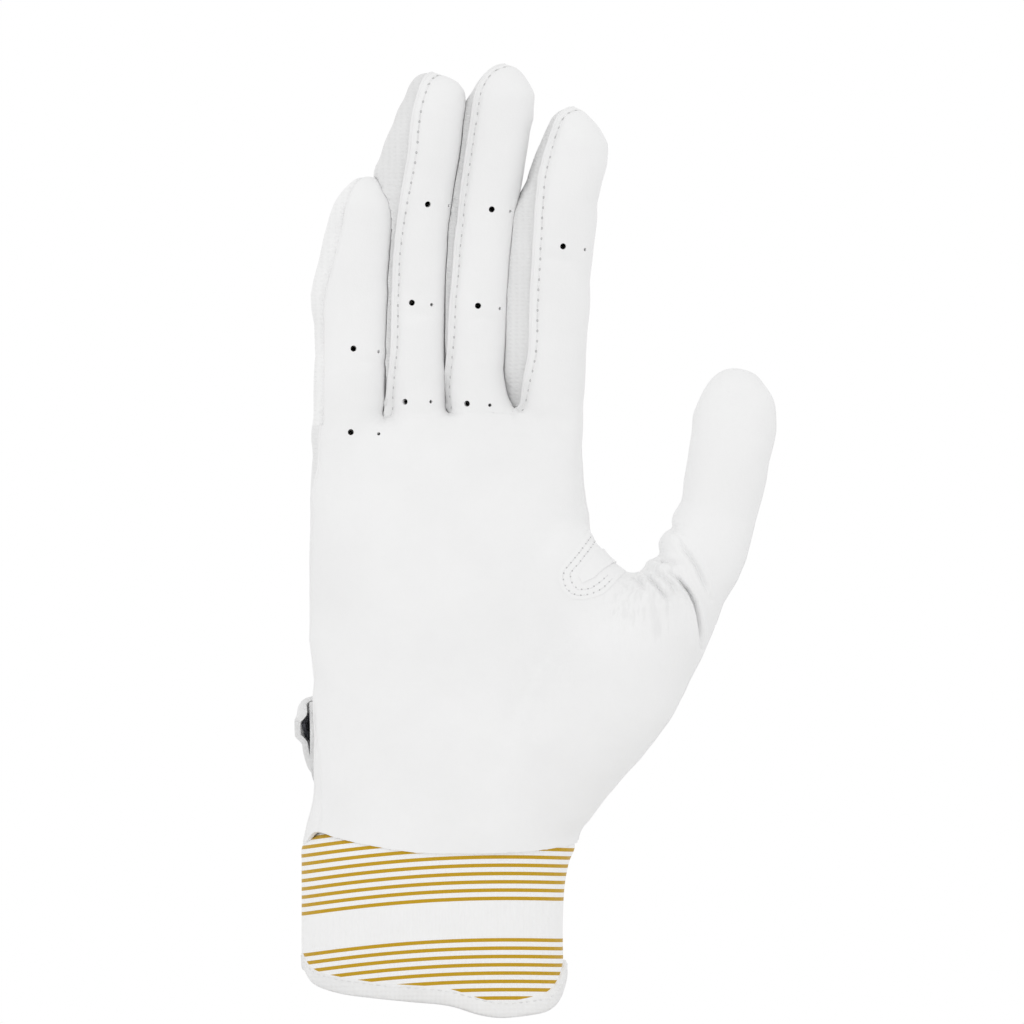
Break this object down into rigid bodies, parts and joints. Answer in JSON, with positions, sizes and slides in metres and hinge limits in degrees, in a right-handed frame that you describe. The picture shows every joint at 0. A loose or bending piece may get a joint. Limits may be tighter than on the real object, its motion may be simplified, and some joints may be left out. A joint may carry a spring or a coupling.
{
  "type": "batting glove",
  "caption": "Right-hand batting glove, shaped open as a hand fills it, with folding fingers and thumb, a knitted cuff and a hook-and-loop wrist strap.",
  "frame": {"origin": "centre of the wrist opening, level with the middle of the cuff's front rim", "axes": "+Z from the wrist to the fingertips, +X towards the thumb, -Y out of the palm side"},
  "size_m": [0.1249, 0.0507, 0.2473],
  "materials": {
    "leather": "smooth white",
    "knit": "white stretch knit",
    "striped_knit": "white knit with printed gold pinstripes",
    "tape": "white binding tape",
    "hook": "grey nylon hooks",
    "webbing": "white coated strap"
  },
  "bodies": {
    "hand": {"palm_panel": "leather", "back_panel": "leather", "knuckle_flex_panel": "knit", "finger_root_panel": "knit", "wrist_gusset": "knit", "thumb_crotch_patch": "leather", "cuff_palm_panel": "striped_knit", "cuff_back_panel": "striped_knit", "cuff_binding": "tape", "strap_loop_patch": "knit", "strap_anchor": "webbing"},
    "little_finger": {"little_finger_leather": "leather", "little_finger_back": "knit"},
    "ring_finger": {"ring_finger_leather": "leather", "ring_finger_side": "knit", "ring_finger_back": "knit"},
    "middle_finger": {"middle_finger_leather": "leather", "middle_finger_side": "knit", "middle_finger_back": "knit"},
    "index_finger": {"index_finger_leather": "leather", "index_finger_side": "knit", "index_finger_back": "knit"},
    "thumb": {"thumb_leather": "leather", "thumb_back": "knit"},
    "strap": {"wrist_strap": "webbing", "strap_hook_patch": "hook"}
  },
  "joints": [
    {"name": "little_finger_fold", "type": "hinge", "parent": "hand", "child": "little_finger", "pos_m": [-0.0226, -0.0112, 0.1498], "axis": [1, 0, 0], "range_deg": [0, 90]},
    {"name": "ring_finger_fold", "type": "hinge", "parent": "hand", "child": "ring_finger", "pos_m": [-0.0048, -0.0112, 0.1544], "axis": [1, 0, 0], "range_deg": [0, 90]},
    {"name": "middle_finger_fold", "type": "hinge", "parent": "hand", "child": "middle_finger", "pos_m": [0.0117, -0.0112, 0.1544], "axis": [1, 0, 0], "range_deg": [0, 90]},
    {"name": "index_finger_fold", "type": "hinge", "parent": "hand", "child": "index_finger", "pos_m": [0.0302, -0.0112, 0.1544], "axis": [1, 0, 0], "range_deg": [0, 90]},
    {"name": "thumb_fold", "type": "hinge", "parent": "hand", "child": "thumb", "pos_m": [0.062, -0.0215, 0.10745], "axis": [0.8191, 0, -0.5736], "range_deg": [0, 60]},
    {"name": "strap_opening", "type": "hinge", "parent": "hand", "child": "strap", "pos_m": [0.017, 0.0265, 0.0645], "axis": [0, 0, -1], "range_deg": [0, 150]}
  ]
}
